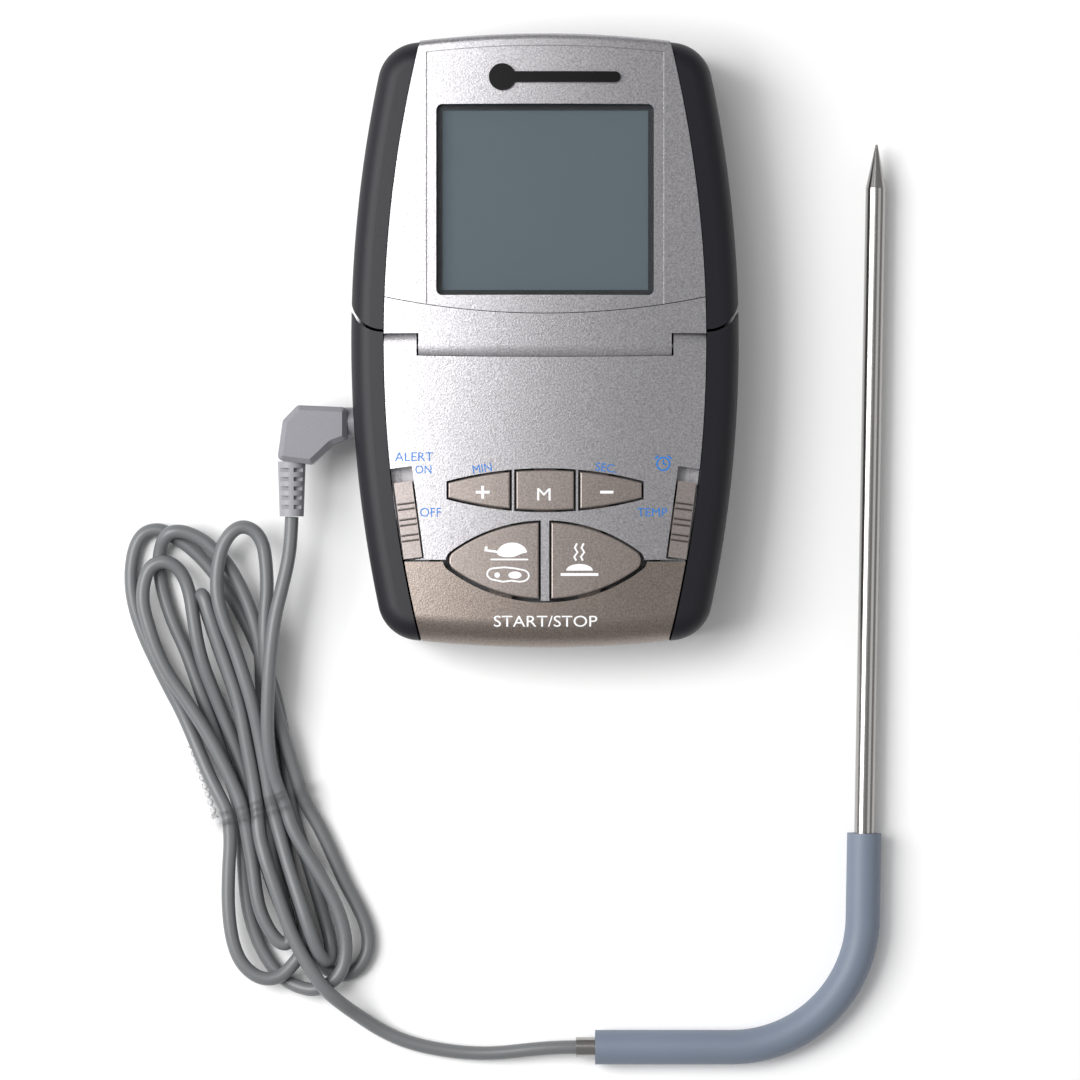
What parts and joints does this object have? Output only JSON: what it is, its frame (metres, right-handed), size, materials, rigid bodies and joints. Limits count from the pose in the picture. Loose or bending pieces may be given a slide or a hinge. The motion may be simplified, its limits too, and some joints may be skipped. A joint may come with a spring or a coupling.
{
  "type": "meat thermometer",
  "caption": "Oven-probe meat thermometer and timer: case with tilting display, keys and slide switches, and a bent steel probe on a tied thin lead with a right-angle plug.",
  "frame": {"origin": "middle of the case's back face, on the surface the case lies on", "axes": "+Z out of the face (up, as it lies on its back), +Y towards the top of the display, +X to the right of a reader"},
  "size_m": [0.1392, 0.1873, 0.0214],
  "materials": {
    "silver_moulding": "metallic silver paint with fine flake on a plastic moulding",
    "soft_grip": "charcoal soft-touch rubber, satin",
    "bronze_keys": "champagne bronze metallic paint, satin",
    "dark_moulding": "dark grey fine-textured plastic",
    "clear_window": "clear polycarbonate window",
    "lcd_glass": "grey-green liquid crystal cell, switched off",
    "black_moulding": "black plastic",
    "black_rubber": "black silicone rubber",
    "circuit_board": "green glass-fibre board",
    "brass_parts": "plain brass and nickel contacts",
    "steel_parts": "plain machined steel",
    "ribbon_film": "amber ribbon cable",
    "battery_jacket": "plain printed battery jacket",
    "plug_grey": "grey moulded plastic, satin",
    "cord_jacket": "grey silicone jacket, satin",
    "clear_tie": "clear soft plastic",
    "probe_steel": "polished stainless steel, fine lengthwise brushing",
    "sleeve_silicone": "blue-grey silicone, satin"
  },
  "bodies": {
    "base": {"base_front_cover": "silver_moulding", "base_rear_cover": "dark_moulding", "base_grip_left": "soft_grip", "base_grip_right": "soft_grip", "main_board": "circuit_board", "keypad_mat": "black_rubber", "battery_upper": "battery_jacket", "battery_lower": "battery_jacket", "battery_springs": "brass_parts", "battery_plates": "brass_parts", "jack_socket": "black_moulding", "alert_switch": "black_moulding", "mode_switch": "black_moulding", "hinge_pins": "steel_parts", "base_screws": "steel_parts", "ribbon_base": "ribbon_film"},
    "display": {"display_bezel": "silver_moulding", "hinge_cover": "silver_moulding", "display_rear_cover": "dark_moulding", "display_grip_left": "soft_grip", "display_grip_right": "soft_grip", "window_lens": "clear_window", "lcd_cell": "lcd_glass", "lcd_frame": "black_moulding", "zebra_strips": "black_rubber", "display_board": "circuit_board", "front_badge": "black_moulding", "buzzer": "brass_parts", "display_screws": "steel_parts", "ribbon_head": "ribbon_film"},
    "probe_lead": {"plug_body": "plug_grey", "plug_contacts": "steel_parts", "strain_relief": "plug_grey", "cord_tail": "cord_jacket", "cord_hank": "cord_jacket", "cord_lead": "cord_jacket", "cord_tie": "clear_tie", "crimp_ferrule": "steel_parts", "probe_tube": "probe_steel", "probe_tip": "probe_steel", "probe_sleeve": "sleeve_silicone", "thermistor": "black_moulding"},
    "alert_slider": {"alert_slider": "bronze_keys"},
    "mode_slider": {"mode_slider": "bronze_keys"},
    "battery_door": {"battery_door": "dark_moulding"},
    "plus_key": {"plus_key": "bronze_keys"},
    "memory_key": {"memory_key": "bronze_keys"},
    "minus_key": {"minus_key": "bronze_keys"},
    "meat_key": {"meat_key": "bronze_keys"},
    "taste_key": {"taste_key": "bronze_keys"},
    "start_stop_key": {"start_stop_key": "bronze_keys"}
  },
  "joints": [
    {"name": "display_tilt", "type": "hinge", "parent": "base", "child": "display", "pos_m": [0, -0.0009, 0.015], "axis": [1, 0, 0], "range_deg": [0, 36]},
    {"name": "plus_key_press", "type": "slide", "parent": "base", "child": "plus_key", "axis": [0, 0, -1], "range_m": [0, 0.0006], "stiffness_N_per_m": 600, "springref_m": -0.0005},
    {"name": "memory_key_press", "type": "slide", "parent": "base", "child": "memory_key", "axis": [0, 0, -1], "range_m": [0, 0.0006], "stiffness_N_per_m": 600, "springref_m": -0.0005},
    {"name": "minus_key_press", "type": "slide", "parent": "base", "child": "minus_key", "axis": [0, 0, -1], "range_m": [0, 0.0006], "stiffness_N_per_m": 600, "springref_m": -0.0005},
    {"name": "meat_key_press", "type": "slide", "parent": "base", "child": "meat_key", "axis": [0, 0, -1], "range_m": [0, 0.0006], "stiffness_N_per_m": 600, "springref_m": -0.0005},
    {"name": "taste_key_press", "type": "slide", "parent": "base", "child": "taste_key", "axis": [0, 0, -1], "range_m": [0, 0.0006], "stiffness_N_per_m": 600, "springref_m": -0.0005},
    {"name": "start_stop_key_press", "type": "slide", "parent": "base", "child": "start_stop_key", "axis": [0, 0, -1], "range_m": [0, 0.0006], "stiffness_N_per_m": 600, "springref_m": -0.0005},
    {"name": "alert_slide", "type": "slide", "parent": "base", "child": "alert_slider", "axis": [-0.1323, 0.9912, 0], "range_m": [0, 0.0023]},
    {"name": "mode_slide", "type": "slide", "parent": "base", "child": "mode_slider", "axis": [0.1323, 0.9912, 0], "range_m": [0, 0.0023]},
    {"name": "battery_door_slide", "type": "slide", "parent": "base", "child": "battery_door", "axis": [0, -1, 0], "range_m": [0, 0.03]},
    {"name": "plug_pull", "type": "slide", "parent": "base", "child": "probe_lead", "axis": [-1, 0, 0], "range_m": [0, 0.014]}
  ]
}
